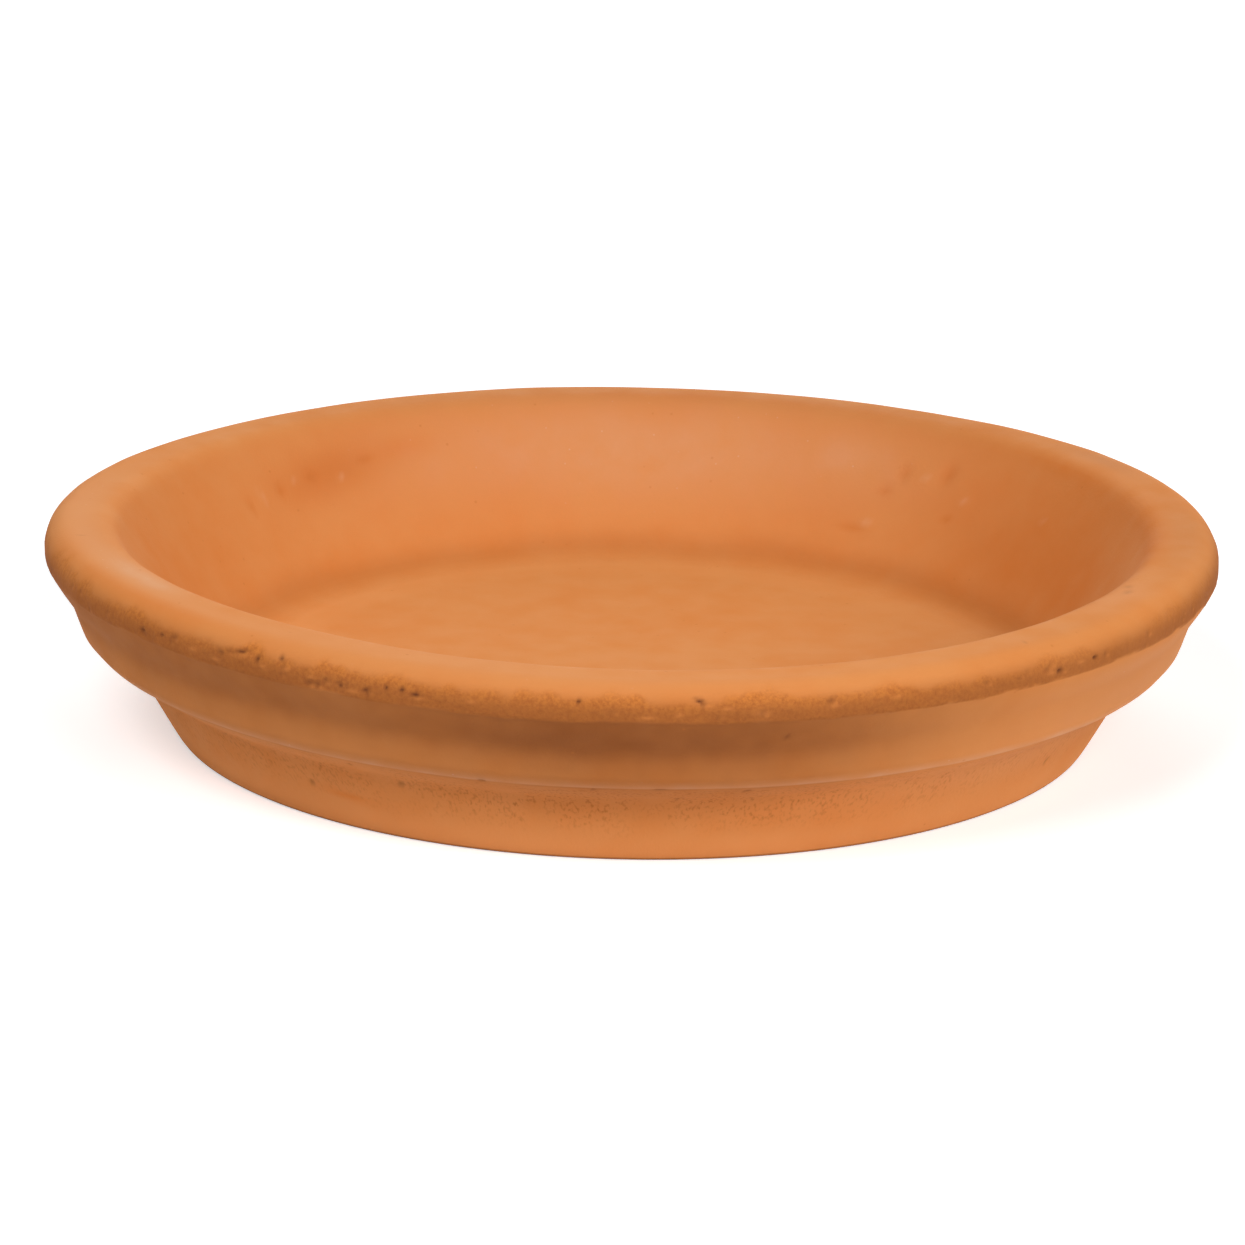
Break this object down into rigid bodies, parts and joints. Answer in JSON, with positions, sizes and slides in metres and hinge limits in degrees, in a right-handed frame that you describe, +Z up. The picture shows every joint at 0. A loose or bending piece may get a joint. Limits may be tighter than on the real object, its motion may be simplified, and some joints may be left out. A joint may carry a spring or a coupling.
{
  "type": "plant saucer",
  "caption": "Round terracotta plant saucer with a thick rolled rim, a coved and stepped outer wall, and a shallow flared well with a flat floor.",
  "frame": {"origin": "centre of the foot ring, on the plane that the saucer stands on", "axes": "+Z up along the axis that the saucer was turned about"},
  "size_m": [0.2, 0.2, 0.035],
  "materials": {
    "terracotta": "unglazed fired terracotta, matt, finely grained"
  },
  "bodies": {
    "root": {"saucer": "terracotta"}
  },
  "joints": []
}
